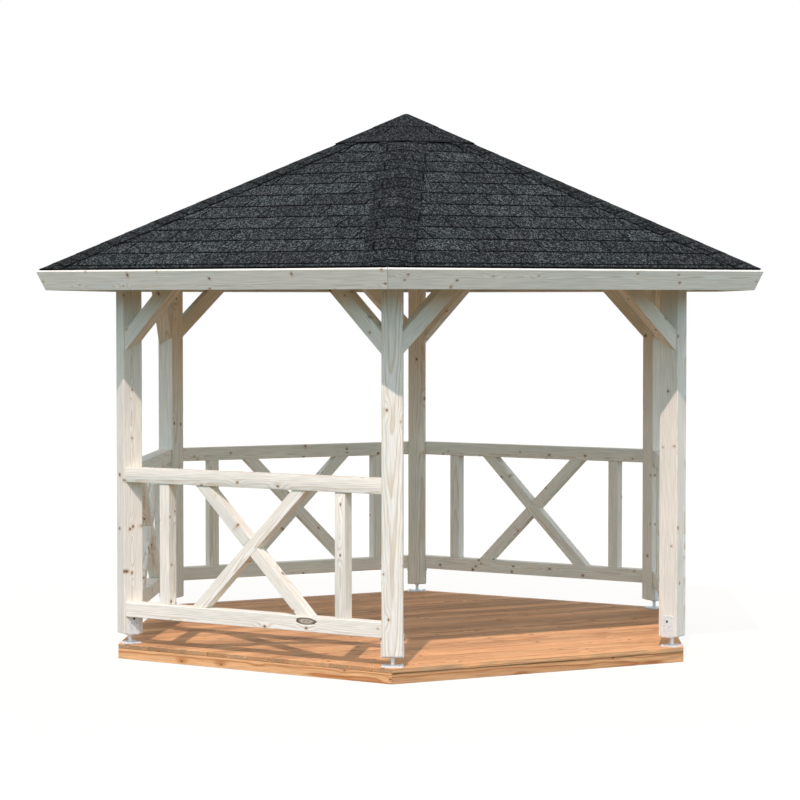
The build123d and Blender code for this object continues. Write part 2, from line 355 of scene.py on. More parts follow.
    knotted = addNode(
        tree, "Mix", {"data_type": "RGBA"}, {0: insideKept, 6: rimmed, 7: knotColour}
    ).outputs[2]

    if "eyeSide" in look:  # one large oval knot with a bark rim, on the outer face of one side's timber
        outwards = direction(look["eyeSide"])
        along = direction(look["eyeSide"] + 90)
        centre = along * look["eyeAlong"] + outwards * look["eyeOut"] + up * look["eyeUp"]
        local = addNode(
            tree,
            "Mapping",
            {
                "vector_type": "TEXTURE",
                "Location": centre,
                "Rotation": (0, 0, radians(look["eyeSide"] + 90)),
                "Scale": look["eyeSize"],
            },
            {"Vector": place},
        )
        fromEye = addNode(
            tree, "VectorMath", {"operation": "LENGTH"}, {0: local.outputs[0]}
        ).outputs["Value"]
        warped = addNode(
            tree,
            "Math",
            {"operation": "MULTIPLY_ADD", 1: look["eyeRagged"], 2: look["eyeShift"]},
            {0: fibre},
        ).outputs[0]
        reached = addNode(tree, "Math", {"operation": "ADD"}, {0: fromEye, 1: warped}).outputs[0]
        bark = addNode(tree, "ValToRGB", links={"Fac": reached})
        setStops(bark, look["eyeStops"])
        within = addNode(
            tree, "MapRange", {"From Min": 1, "From Max": look["eyeRim"]}, {"Value": reached}
        ).outputs[0]
        knotted = addNode(
            tree, "Mix", {"data_type": "RGBA"}, {0: within, 6: knotted, 7: bark.outputs["Color"]}
        ).outputs[2]

    relief = addNode(tree, "Bump", {"Strength": look["bump"], "Distance": 0.001}, {"Height": fibre})
    shader = addNode(
        tree,
        "BsdfPrincipled",
        {"Roughness": look["roughness"], "IOR": 1.5, "Specular IOR Level": look["shine"]},
        {"Base Color": knotted, "Normal": relief.outputs[0]},
    )
    addNode(tree, "OutputMaterial", links={"Surface": shader.outputs[0]})
    return material


spruce = woodMaterial("sprucePlaned", spruceLook)
knottySpruce = woodMaterial("sprucePlanedKnotty", knottyLook)
# the roof spruce's cooler, greyer tint is painted shade
roofSpruceShadeTinted = woodMaterial("spruceSawnShadeTinted", roofLookShadeTinted)
deckLarch = woodMaterial("larchStained", deckLook)


def solidsOf(node):  # every solid of a CAD node, as a bmesh of its own with whole faces
    source = bmesh.new()
    source.from_mesh(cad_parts[node].data)
    bmesh.ops.remove_doubles(source, verts=source.verts, dist=1e-5)
    bmesh.ops.dissolve_limit(source, angle_limit=radians(0.3), verts=source.verts, edges=source.edges)
    source.verts.ensure_lookup_table()
    islandOf = {}
    count = 0
    for start in source.verts:
        if start in islandOf:
            continue
        front = [start]
        while front:
            vert = front.pop()
            if vert not in islandOf:
                islandOf[vert] = count
                front += [edge.other_vert(vert) for edge in vert.link_edges]
        count += 1
    found = []
    for number in range(count):
        solid = source.copy()
        solid.verts.ensure_lookup_table()
        others = [solid.verts[vert.index] for vert in source.verts if islandOf[vert] != number]
        bmesh.ops.delete(solid, geom=others, context="VERTS")
        found.append(solid)
    source.free()
    return found


def everything(mesh):
    return mesh.verts[:] + mesh.edges[:] + mesh.faces[:]


def crease(mesh, point, normal, clear=False):  # a line across a mesh, or its end on the normal's side
    return bmesh.ops.bisect_plane(
        mesh, geom=everything(mesh), dist=1e-6, plane_co=point, plane_no=normal, clear_outer=clear
    )


def cut(solid, point, normal):  # takes off what lies on the normal's side, and closes the cut
    sliced = crease(solid, point, normal, clear=True)
    rim = [item for item in sliced["geom_cut"] if isinstance(item, bmesh.types.BMEdge)]
    bmesh.ops.contextual_create(solid, geom=rim)


def soften(solid, edges, offset, segments=2, affect="EDGES", clamp=True):
    bmesh.ops.bevel(
        solid,
        geom=edges,
        offset=offset,
        segments=segments,
        profile=0.5,
        affect=affect,
        material=-1,
        clamp_overlap=clamp,
    )


# How timbers are sawn from the log, in metres.
sawing = {
    "arris": 0.003,
    "arrisPost": 0.005,
    "arrisDeck": 0.002,
    "lean": 0.014,  # the saw never runs quite along the pith
    "pithDepth": (0.01, 0.05),  # past the timber's inner face
    "logLength": 40,
    "offCentre": 0.04,
}


def centreOf(solid):
    return sum((vert.co for vert in solid.verts), Vector()) / len(solid.verts)


def season(solid, chance, arris=sawing["arris"], outer=None):
    # rounds a timber's edges and gives it its own grain: where it was sawn from the log, and its tone
    longest = max(solid.edges, key=lambda edge: edge.calc_length())
    along = (longest.verts[1].co - longest.verts[0].co).normalized()
    sides = (face for face in solid.faces if abs(face.normal.dot(along)) < 0.1)
    broadest = max(sides, key=lambda face: face.calc_area())
    through = broadest.normal.copy()
    across = through.cross(along).normalized()
    middle = centreOf(solid)
    depth = max((vert.co - middle).dot(through) for vert in solid.verts)
    reach = max(abs((vert.co - middle).dot(along)) for vert in solid.verts)
    lean = chance.uniform(-sawing["lean"], sawing["lean"])
    pith = depth + abs(lean) * reach + chance.uniform(*sawing["pithDepth"])
    start = chance.uniform(0, sawing["logLength"])
    aside = chance.uniform(-sawing["offCentre"], sawing["offCentre"])
    log = Vector((start, aside, pith))
    tone = chance.uniform(-1, 1)
    soften(solid, solid.edges[:], arris)
    grain = solid.verts.layers.float_vector.new("grain")
    for vert in solid.verts:
        place = vert.co - middle
        length = place.dot(along)
        vert[grain] = log + Vector((length, place.dot(across), place.dot(through) + lean * length))
    board = solid.faces.layers.float_vector.new("board")
    solid.normal_update()
    for face in solid.faces:
        onEdge = outer is not None and outer(face)
        face[board] = (tone, float(abs(face.normal.dot(along)) > 0.8), float(onEdge))
    return solid


def makePiece(name, solids, finish, nodes):
    whole = bmesh.new()
    for solid in solids:
        loose = bpy.data.meshes.new("loose")
        solid.to_mesh(loose)
        solid.free()
        whole.from_mesh(loose)
        bpy.data.meshes.remove(loose)
    mesh = bpy.data.meshes.new(name)
    whole.to_mesh(mesh)
    whole.free()
    mesh.materials.append(finish)
    piece = bpy.data.objects.new(name, mesh)
    bpy.context.scene.collection.objects.link(piece)
    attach(piece, "root")
    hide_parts(*nodes)


def timbers(node, finish, seed, arris=sawing["arris"]):
    chance = random.Random(seed)
    solids = [season(solid, chance, arris) for solid in solidsOf(node)]
    makePiece(f"{node}_timber", solids, finish, [node])


# Each timber has its own place in the log, so each group of them starts from a seed of its own.
seeds = {"posts": 20, "beams": 0, "braces": 30, "rails": 63, "infill": 101, "roof": 80, "deck": 90}
seed = 0
for name in postNames.values():
    seed += 1
    timbers(f"post_{name}", spruce, seed + seeds["posts"], sawing["arrisPost"])
for name in sideNames.values():
    seed += 1
    timbers(f"top_beam_{name}", spruce, seed + seeds["beams"])
    timbers(f"braces_{name}", spruce, seed + seeds["braces"])
for name in railedSides:
    seed += 1
    finish = knottySpruce if name == "front_left" else spruce
    timbers(f"rails_{name}", finish, seed + seeds["rails"])
    timbers(f"railing_infill_{name}", spruce, seed + seeds["infill"])
for node in ("hip_rafters", "rafters", "roof_hub", "fascia"):
    seed += 1
    timbers(node, roofSpruceShadeTinted, seed + seeds["roof"])
for node in ("deck_rim", "deck_joists"):
    seed += 1
    timbers(node, deckLarch, seed + seeds["deck"], sawing["arrisDeck"])
print("timbers cut")


# Deck boards, laid across the deck.
decking = {
    "boards": 27,
    "gap": 0.005,
    "arris": 0.004,
    "edgeBand": 0.003,  # how near the outside a face is to count as weathered
    "seed": 5,
}


def deckBoards():
    low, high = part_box("deck_boards")
    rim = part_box("deck_rim")[1].y
    chance = random.Random(decking["seed"])
    pitch = (high.y - low.y) / decking["boards"]

    def atRim(face):  # the faces round the outside of the deck
        centre = face.calc_center_median()
        out = max(centre.dot(direction(angle)) for angle in sideNames)
        return abs(face.normal.z) < 0.5 and out > rim - decking["edgeBand"]

    solids = []
    for k in range(decking["boards"]):
        solid = solidsOf("deck_boards")[0]
        if k > 0:
            cut(solid, (0, low.y + k * pitch + decking["gap"] / 2, 0), (0, -1, 0))
        if k < decking["boards"] - 1:
            cut(solid, (0, low.y + (k + 1) * pitch - decking["gap"] / 2, 0), (0, 1, 0))
        for angle in (30, 150, 210, 330):  # board ends are trimmed to the frame
            cut(solid, direction(angle) * rim, direction(angle))
        solids.append(season(solid, chance, decking["arris"], atRim))
    makePiece("deck_boards_laid", solids, deckLarch, ["deck_boards"])


deckBoards()
print("deck laid")


def roofNormal():  # of the front face, from the roof boards
    faces = solidsOf("roof_boards")
    best = max(
        (face for solid in faces for face in solid.faces if face.normal.z > 0.5 and face.normal.y < -0.1),
        key=lambda face: (round(-face.normal.y, 4), face.calc_center_median().z),
    )
    return best.normal.copy()


roofFace = roofNormal()
pitch = atan2(-roofFace.y, roofFace.z)
boardsLow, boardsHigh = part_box("roof_boards")
eaveApothem = boardsHigh.y
roofBoardThickness = 0.019
eaveHeight = boardsLow.z + roofBoardThickness * cos(pitch)
apexRun = eaveApothem / cos(pitch)  # eave to peak up the slope
halfEave = eaveApothem * tan(radians(30))
print("pitch", round(pitch * 180 / pi, 3), "eave", round(eaveApothem, 4), round(eaveHeight, 4))


def onRoof(angle):
    # from a side's own roof frame (X to the right seen from outside, Y up the slope, Z out) to the world
    along = direction(angle + 90)
    outwards = direction(angle) * sin(pitch) + up * cos(pitch)
    upSlope = outwards.cross(along)
    origin = direction(angle) * eaveApothem + up * eaveHeight
    return Matrix.Translation(origin) @ Matrix((along, upSlope, outwards)).transposed().to_4x4()


planking = {
    "width": 0.121,
    "joint": 0.002,
    "arris": 0.004,
    "seed": 6,
}


def roofPlanks():
    chance = random.Random(planking["seed"])
    rows = floor(apexRun / planking["width"]) + 1
    solids = []
    for angle in sideNames:
        placed = onRoof(angle)
        turned = placed.to_3x3()
        slab = max(solidsOf("roof_boards"), key=lambda solid: centreOf(solid).dot(direction(angle)))
        for k in range(rows):
            solid = slab.copy()
            lower = placed @ Vector((0, k * planking["width"] + planking["joint"] / 2, 0))
            upper = placed @ Vector((0, (k + 1) * planking["width"] - planking["joint"] / 2, 0))
            if k > 0:
                cut(solid, lower, turned @ Vector((0, -1, 0)))
            if k < rows - 1:
                cut(solid, upper, turned @ Vector((0, 1, 0)))
            if len(solid.faces) > 4:
                solids.append(season(solid, chance, planking["arris"]))
        slab.free()
    makePiece("roof_boards_planks", solids, roofSpruceShadeTinted, ["roof_boards"])


roofPlanks()
print("roof boarded")


# Bitumen felt faced with crushed slate: charcoal, matt, speckled, with black cut edges.
shingleLook = {
    "slate": "#1E2425",
    "slateGreen": "#1C2422",
    "slateViolet": "#202426",
    "pale": "#6A7271",
    "dark": "#0B0D0F",
    "bitumen": "#0B0D0E",
    "cluster": (0.0048, 0.0100, 0.0048),  # grit of 1 to 2 mm, drawn in clusters that show
    "grit": 350,  # bumps per metre
    "gritDepth": 0.001,
    "roughness": 0.95,
    "shine": 0.06,
}
shingle = {
    "exposure": 0.1602,
    "firstEdge": 0.044,  # the starter strip shows below it
    "length": 0.225,
    "thickness": 0.0032,
    "lowerLift": 0.0046,
    "tab": 0.4165,
    "slotWidth": 0.010,
    "slotLength": 0.140,
    "hipClear": 0.075,
    "shadeBand": 0.008,  # painted shade: a dark band along the lower edge draws the shadow line under each course
    "shadeBandTone": 0.32,
    "slotShadowThickness": 0.0006,
    "slotShadowShade": (0.05, 0.5),  # tone and hue of the black sheet in the slots, painted shade
    "sheetWidth": 2.2,  # in half eaves, so past both hips
    "slotsBefore": 8,  # slots left of the middle, past the widest course
    "tones": (0.8, 1.18),
    "rows": 12,
    "seedStep": 100,
    "starterShade": (0.9, 0.5),
    # painted shade at the eave: a dark strip under the starter strip, the felt's front edge in shadow
    "eaveShadowWidth": 0.010,
    "eaveShadowDepth": 0.0078,
    "eaveShadowShort": 0.02,
    "eaveShadowShade": (0.3, 0.5),
    "phases": {  # where a slot of the even and of the odd courses lies, from the middle of each side
        270: (0.106, -0.109),
        210: (-0.100, 0.108),
        330: (-0.06, 0.15),
        30: (0.1, -0.1),
        90: (0.02, -0.18),
        150: (0.13, -0.08),
    },
}
hipBeta = atan2(halfEave, apexRun)


def shingleMaterial(look):
    material, tree = newMaterial("slateFacedShingle")
    tab = addNode(tree, "Attribute", {"attribute_name": "tab"}).outputs["Vector"]
    tabParts = addNode(tree, "SeparateXYZ", links={"Vector": tab})
    lay = addNode(tree, "Attribute", {"attribute_name": "lay"}).outputs["Vector"]
    hue = addNode(tree, "ValToRGB", links={"Fac": tabParts.outputs["Z"]})
    setStops(hue, [(0, look["slateGreen"]), (0.5, look["slate"]), (1, look["slateViolet"])])
    inClusters = addNode(tree, "VectorMath", {"operation": "DIVIDE", 1: look["cluster"]}, {0: lay})
    grit = addNode(tree, "TexVoronoi", {"Scale": 1}, {"Vector": inClusters.outputs[0]})
    gritValue = addNode(tree, "SeparateColor", links={"Color": grit.outputs["Color"]}).outputs[0]
    paler = addNode(
        tree, "MapRange", {"From Min": 0.65, "From Max": 1, "To Max": 0.85}, {"Value": gritValue}
    ).outputs[0]
    darker = addNode(
        tree, "MapRange", {"From Min": 0.45, "From Max": 0.1, "To Max": 0.95}, {"Value": gritValue}
    ).outputs[0]
    speckled = addNode(
        tree, "Mix", {"data_type": "RGBA", 7: linear(look["pale"])}, {0: paler, 6: hue.outputs["Color"]}
    ).outputs[2]
    speckled = addNode(
        tree, "Mix", {"data_type": "RGBA", 7: linear(look["dark"])}, {0: darker, 6: speckled}
    ).outputs[2]
    toned = addNode(
        tree, "VectorMath", {"operation": "SCALE"}, {0: speckled, "Scale": tabParts.outputs["X"]}
    ).outputs[0]
    edged = addNode(
        tree,
        "Mix",
        {"data_type": "RGBA", 7: linear(look["bitumen"])},
        {0: tabParts.outputs["Y"], 6: toned},
    ).outputs[2]
    fine = addNode(tree, "TexNoise", {"Scale": look["grit"], "Detail": 2}, {"Vector": lay}).outputs["Fac"]
    relief = addNode(tree, "Bump", {"Strength": 0.6, "Distance": look["gritDepth"]}, {"Height": fine})
    shader = addNode(
        tree,
        "BsdfPrincipled",
        {"Roughness": look["roughness"], "IOR": 1.5, "Specular IOR Level": look["shine"]},
        {"Base Color": edged, "Normal": relief.outputs[0]},
    )
    addNode(tree, "OutputMaterial", links={"Surface": shader.outputs[0]})
    return material


slateFelt = shingleMaterial(shingleLook)


def sheet(width, start, length, columns=1):  # a flat sheet up the slope, lower edge at start
    felt = bmesh.new()
    bmesh.ops.create_grid(felt, x_segments=columns, y_segments=1, size=0.5)
    bmesh.ops.scale(felt, verts=felt.verts, vec=(width, length, 1))
    bmesh.ops.translate(felt, verts=felt.verts, vec=(0, start + length / 2, 0))
    return felt


def thicken(felt, thickness, toneOf, outwards=True):
    # gives a sheet its thickness, and notes on each face its tone, whether it is a cut edge, and its hue
    bmesh.ops.solidify(felt, geom=felt.faces[:], thickness=-thickness if outwards else thickness)
    bmesh.ops.recalc_face_normals(felt, faces=felt.faces)
    tab = felt.faces.layers.float_vector.new("tab")
    for face in felt.faces:
        tone, hue = toneOf(face.calc_center_median())
        face[tab] = (tone, float(abs(face.normal.z) < 0.5), hue)
    lay = felt.verts.layers.float_vector.new("lay")
    for vert in felt.verts:
        vert[lay] = vert.co


def stopAtHips(felt):  # stops short of the hips, under the caps
    for hand in (-1, 1):
        inwards = Vector((hand * cos(hipBeta), sin(hipBeta), 0))
        point = Vector((hand * halfEave, 0, 0)) - inwards * shingle["hipClear"]
        crease(felt, point, inwards, clear=True)


def splitOff(felt, inSlot):  # takes the faces in a slot out of a sheet, as a black sheet of painted shade there
    slotShadow = felt.copy()
    for part, wanted in ((felt, False), (slotShadow, True)):
        spare = [face for face in part.faces if inSlot(face.calc_center_median()) != wanted]
        bmesh.ops.delete(part, geom=spare, context="FACES")
    return slotShadow


# a thin black sheet in each slot: painted shade where the felt below lies in shadow
def thickenSlotShadow(slotShadow, outwards=True):
    thicken(slotShadow, shingle["slotShadowThickness"], lambda centre: shingle["slotShadowShade"], outwards)


def shingleCourse(angle, row):
    start = shingle["firstEdge"] + row * shingle["exposure"]
    phase = shingle["phases"][angle][row % 2]
    felt = sheet(shingle["sheetWidth"] * halfEave, start, shingle["length"])
    reach = halfEave * (1 - start / apexRun)
    slots = []
    number = -shingle["slotsBefore"]
    while phase + number * shingle["tab"] < reach:
        slots.append(phase + number * shingle["tab"])
        number += 1
    half = shingle["slotWidth"] / 2
    for place in slots:
        for edge in (place - half, place + half):
            crease(felt, (edge, 0, 0), (1, 0, 0))
    top = start + shingle["slotLength"]
    shadeBandTop = start + shingle["shadeBand"]
    for line in (top, shadeBandTop):
        crease(felt, (0, line, 0), (0, 1, 0))
    stopAtHips(felt)

    def inSlot(centre):
        return centre.y < top and any(abs(centre.x - s) < half for s in slots)

    slotShadow = splitOff(felt, inSlot)
    if not felt.faces:
        felt.free()
        slotShadow.free()
        return []
    tones = {}
    chance = random.Random(angle * shingle["seedStep"] + row)

    def toneOf(centre):
        number = floor((centre.x - phase) / shingle["tab"])
        if number not in tones:
            tones[number] = (chance.uniform(*shingle["tones"]), chance.uniform(0, 1))
        tone, hue = tones[number]
        # the band along the lower edge is darker: painted shade
        return (tone * shingle["shadeBandTone"], hue) if centre.y < shadeBandTop else (tone, hue)

    thicken(felt, shingle["thickness"], toneOf)
    thickenSlotShadow(slotShadow)
    tilt = atan(shingle["lowerLift"] / shingle["length"])
    laid = Matrix.Translation((0, start, shingle["lowerLift"])) @ Matrix.Rotation(-tilt, 4, "X")
    for solid in (felt, slotShadow):
        solid.transform(onRoof(angle) @ laid @ Matrix.Translation((0, -start, 0)))
    return [felt, slotShadow]


def starterStrip(angle):
    felt = sheet(shingle["sheetWidth"] * halfEave, 0, shingle["exposure"])
    stopAtHips(felt)
    thicken(felt, shingle["lowerLift"], lambda centre: shingle["starterShade"])
    felt.transform(onRoof(angle))
    return felt


def eaveShadowStrip(angle):  # a dark strip under the starter strip; its darkness is painted shade, the shadowed front edge of the felt at the eave
    edging = sheet(2 * halfEave - shingle["eaveShadowShort"], 0, shingle["eaveShadowWidth"])
    thicken(edging, shingle["eaveShadowDepth"], lambda centre: shingle["eaveShadowShade"])
    edging.transform(onRoof(angle))
    for hand in (-1, 1):
        cut(edging, (0, 0, 0), direction(angle + 30 * hand + 90 * hand))
    return edging


def shinglePieces():
    solids = []
    for angle in sideNames:
        solids += [starterStrip(angle), eaveShadowStrip(angle)]
        for row in range(shingle["rows"]):
            solids += shingleCourse(angle, row)
    makePiece("shingles_laid", solids, slateFelt, ["shingles"])


shinglePieces()
print("shingles laid")


# Felt bent over the hips and lapped up the slope, every other cap with a slot.
capping = {
    "width": 0.290,
    "thickness": 0.0020,
    "lowerLift": 0.0100,
    "upperLift": 0.0080,
    "bendHalf": 0.070,
    "firstEdge": 0.095,
    "exposure": 0.1612,
    "length": 0.225,
    "slotPlace": -0.089,
    "slotWidth": 0.011,
    "slotLength": 0.135,
    "shadeBand": 0.014,  # painted shade along the lower edge, the shadow line under each cap
    "shadowSide": 0.010,  # painted shadow along the right edge of every other cap
    "shadowSideTone": 0.15,
    "columns": 18,
    "tones": (0.56, 0.8),
    "seedStep": 50,
    "underlap": 0.004,  # under the edge of the peak cap
}
# Two sheets folded over the peak. Lift is the height of the upper face over the roof boards. The dark band
# round each sheet's edge is painted shade, the shadow line under its step.
peakFelt = {
    "cap": {"radius": 0.480, "thickness": 0.006, "lift": 0.014, "shade": (0.64, 0.9), "shadeBand": 0.010},
    "crown": {"radius": 0.228, "thickness": 0.002, "lift": 0.016, "shade": (0.68, 0.7), "shadeBand": 0.004},
    "bend": 0.008,
    "slotPlace": 0.025,
    "slotStart": 0.9,  # as a share of the crown's reach
}
hipFall = asin(sin(pitch) * sin(radians(30)))
hipSlope = atan(tan(pitch) * cos(radians(30)))
eaveCorner = eaveApothem / cos(radians(30))
hipRun = eaveCorner / cos(hipSlope)


def onHip(angle):  # from a hip's own frame (X to the right, Y up the hip, Z out) to the world
    along = direction(angle + 90)
    upHip = (up * sin(hipSlope) - direction(angle) * cos(hipSlope)).normalized()
    outwards = along.cross(upHip)
    origin = direction(angle) * eaveCorner + up * eaveHeight
    return Matrix.Translation(origin) @ Matrix((along, upHip, outwards)).transposed().to_4x4()


def overHip(x, lift):  # height over the hip line of felt bent over it, lying lift over the boards
    bend = capping["bendHalf"] / sin(hipFall)
    ridge = lift / cos(hipFall)
    if abs(x) < capping["bendHalf"]:
        return ridge - bend / cos(hipFall) + sqrt(bend ** 2 - x ** 2)
    return ridge - abs(x) * tan(hipFall)


def hipCap(angle, row):
    start = capping["firstEdge"] + (row - 1) * capping["exposure"]
    length = capping["length"]
    width = capping["width"] * cos(hipFall)
    felt = sheet(width, start, length, capping["columns"])
    half = capping["slotWidth"] / 2
    top = start + capping["slotLength"]
    shadeBandTop = start + capping["shadeBand"]
    shadowSideEdge = width / 2 - capping["shadowSide"]
    for edge in (capping["slotPlace"] - half, capping["slotPlace"] + half, shadowSideEdge):
        crease(felt, (edge, 0, 0), (1, 0, 0))
    for line in (top, shadeBandTop):
        crease(felt, (0, line, 0), (0, 1, 0))

    def inSlot(centre):
        return row % 2 == 0 and centre.y < top and abs(centre.x - capping["slotPlace"]) < half

    chance = random.Random(angle * capping["seedStep"] + row)
    tone, hue = chance.uniform(*capping["tones"]), chance.uniform(0, 1)

    def toneOf(centre):
        # painted shadow along the right edge of every other cap
        if row % 2 == 1 and centre.x > shadowSideEdge and centre.y < top:
            return tone * capping["shadowSideTone"], hue
        # painted shade along the lower edge
        return (tone * shingle["shadeBandTone"], hue) if centre.y < shadeBandTop else (tone, hue)

    slotShadow = splitOff(felt, inSlot)
    thicken(felt, capping["thickness"], toneOf)
    thickenSlotShadow(slotShadow)
    rise = capping["lowerLift"] - capping["upperLift"]
    laid = []
    for solid in (felt, slotShadow):
        if not solid.faces:
            solid.free()
            continue
        for vert in solid.verts:
            share = (vert.co.y - start) / length
            lift = capping["lowerLift"] - rise * share + vert.co.z
            vert.co.z = overHip(vert.co.x, lift)
        solid.transform(onHip(angle))
        if row == 0:  # trimmed at the eaves
            for side in (angle - 30, angle + 30):
                square = direction(side) * cos(pitch) - up * sin(pitch)
                cut(solid, direction(side) * eaveApothem + up * eaveHeight, square)
        laid.append(solid)
    return laid


def trimAtPeak(felt, angle):  # ends each half of a hip cap against its own side of the peak cap
    halves = []
    edge = peakFelt["cap"]["radius"] * cos(radians(30)) - capping["underlap"]
    for hand in (-1, 1):
        half = felt.copy()
        cut(half, (0, 0, 0), direction(angle + 90) * -hand)
        side = direction(angle + 30 * hand)
        cut(half, side * edge, -side)
        halves.append(half)
    felt.free()
    return halves


def hipCaps():
    solids = []
    rows = floor((hipRun - peakFelt["cap"]["radius"] / cos(hipSlope)) / capping["exposure"]) + 2
    for angle in postNames:
        for row in range(rows):
            for solid in hipCap(angle, row):
                solids += [solid] if row < rows - 3 else trimAtPeak(solid, angle)
    makePiece("hip_caps_laid", solids, slateFelt, ["hip_caps"])


hipCaps()


def peakLayer(layer, slots):  # a hexagonal sheet folded over the peak, its hips softened
    radius, shade = layer["radius"], layer["shade"]
    depth = radius * cos(radians(30)) * tan(pitch)
    felt = bmesh.new()
    bmesh.ops.create_cone(felt, cap_ends=False, segments=6, radius1=radius, radius2=0, depth=depth)
    bmesh.ops.remove_doubles(felt, verts=felt.verts, dist=1e-4)
    bmesh.ops.rotate(felt, verts=felt.verts, cent=(0, 0, 0), matrix=Matrix.Rotation(radians(30), 3, "Z"))
    peak = eaveHeight + eaveApothem * tan(pitch) + layer["lift"] / cos(pitch)
    bmesh.ops.translate(felt, verts=felt.verts, vec=(0, 0, peak - depth / 2))
    hips = [edge for edge in felt.edges if abs(edge.verts[0].co.z - edge.verts[1].co.z) > depth / 2]
    soften(felt, hips, peakFelt["bend"], segments=4, clamp=False)
    half = capping["slotWidth"] / 2
    inner = peakFelt["crown"]["radius"] * cos(radians(30)) * peakFelt["slotStart"]
    outer = inner + capping["slotLength"]
    if slots:
        for side in sideNames:
            along = direction(side + 90)
            for edge in (peakFelt["slotPlace"] - half, peakFelt["slotPlace"] + half):
                crease(felt, along * edge, along)
            for end in (inner, outer):
                crease(felt, direction(side) * end, direction(side))
    # painted shade: a dark band round the sheet's edge
    edge = radius * cos(radians(30)) - layer["shadeBand"]
    for side in sideNames:
        crease(felt, direction(side) * edge, direction(side))
    felt.normal_update()
    bmesh.ops.recalc_face_normals(felt, faces=felt.faces)

    def toneOf(centre):
        inShadeBand = max(centre.dot(direction(side)) for side in sideNames) > edge
        return (shade[0] * shingle["shadeBandTone"], shade[1]) if inShadeBand else shade

    def inSlot(centre):
        side = max(sideNames, key=lambda angle: centre.dot(direction(angle)))
        across = centre.dot(direction(side + 90)) - peakFelt["slotPlace"]
        return slots and abs(across) < half and inner < centre.dot(direction(side)) < outer

    slotShadow = splitOff(felt, inSlot)
    thicken(felt, layer["thickness"], toneOf, outwards=False)
    if not slotShadow.faces:
        slotShadow.free()
        return [felt]
    bmesh.ops.translate(slotShadow, verts=slotShadow.verts, vec=(0, 0, -layer["thickness"] / 2))
    thickenSlotShadow(slotShadow, outwards=False)
    return [felt, slotShadow]


def peakCap():
    solids = peakLayer(peakFelt["cap"], True) + peakLayer(peakFelt["crown"], False)
    makePiece("peak_cap_laid", solids, slateFelt, ["peak_cap"])


peakCap()
print("caps laid")


# Hot-dip galvanised steel: pale grey zinc with a faint bluish crystal pattern, half matt.
zincLook = {
    "pale": "#EEF0EE",
    "deep": "#DCE0E1",
    "bolt": "#2B2A2C",
    "crystal": 0.012,  # zinc flowers of about 10 mm
    "fine": 400,  # bumps per metre
    "fineDepth": 0.0005,
    "metallic": 0.25,
    "roughness": 0.5,
}
foot = {
    "postSize": 0.115,
    "length": 0.100,  # base plate, along the radius
    "width": 0.120,
    "thickness": 0.006,
    "corner": 0.010,
    "arris": 0.0008,
    "screwAt": (0.038, 0.048),
    "screwRadius": 0.006,
    "screwHeight": 0.004,
    "headArris": 0.001,
    "rodRadius": 0.010,
    "nutRadius": 0.015,
    "nutHeight": 0.009,
    "cheekWidth": 0.070,
    "cheekThickness": 0.005,
    "cheekHeight": 0.120,
    "cradleThickness": 0.006,
    "bend": 0.007,
    "cheekCorner": 0.009,
    "boltUp": 0.089,
    "boltRadius": 0.0065,
    "boltHeight": 0.004,
    "nailAt": (0.018, 0.062),
    "nailRadius": 0.003,
    "nailHeight": 0.0015,
    "nailDark": 0.6,
}


def zincMaterial(look):
    material, tree = newMaterial("hotDipGalvanisedSteel")
    place = addNode(tree, "TexCoord").outputs["Object"]
    crystals = addNode(tree, "TexVoronoi", {"Scale": 1 / look["crystal"]}, {"Vector": place})
    value = addNode(tree, "SeparateColor", links={"Color": crystals.outputs["Color"]}).outputs[0]
    flowered = addNode(
        tree,
        "Mix",
        {"data_type": "RGBA", 6: linear(look["pale"]), 7: linear(look["deep"])},
        {0: value},
    ).outputs[2]
    bolted = addNode(tree, "Attribute", {"attribute_name": "bolt"}).outputs["Fac"]
    colour = addNode(
        tree, "Mix", {"data_type": "RGBA", 7: linear(look["bolt"])}, {0: bolted, 6: flowered}
    ).outputs[2]
    fine = addNode(tree, "TexNoise", {"Scale": look["fine"], "Detail": 2}, {"Vector": place}).outputs["Fac"]
    relief = addNode(tree, "Bump", {"Strength": 0.3, "Distance": look["fineDepth"]}, {"Height": fine})
    shader = addNode(
        tree,
        "BsdfPrincipled",
        {"Metallic": look["metallic"], "Roughness": look["roughness"]},
        {"Base Color": colour, "Normal": relief.outputs[0]},
    )
    addNode(tree, "OutputMaterial", links={"Surface": shader.outputs[0]})
    return material


def block(size, place):  # a box whose underside is centred on a place
    box = bmesh.new()
    bmesh.ops.create_cube(box, size=1)
    bmesh.ops.scale(box, verts=box.verts, vec=size)
    bmesh.ops.translate(box, verts=box.verts, vec=Vector(place) + up * size[2] / 2)
    return box


def upright(edge):
    return abs(edge.verts[0].co.z - edge.verts[1].co.z) > 1e-6


def roundBar(radius, height, place, sides=24, arris=0.0):  # an upright bar, screw head or nut
    bar = bmesh.new()
    bmesh.ops.create_cone(
        bar, cap_ends=True, segments=sides, radius1=radius, radius2=radius, depth=height
    )
    bmesh.ops.translate(bar, verts=bar.verts, vec=Vector(place) + up * height / 2)
    if arris:
        soften(bar, [edge for edge in bar.edges if not upright(edge)], arris)
    return bar


def mark(solid, value):  # one for the dark bolts, nought for bare zinc, nails between
    bolt = solid.faces.layers.float.new("bolt")
    for face in solid.faces:
        face[bolt] = value


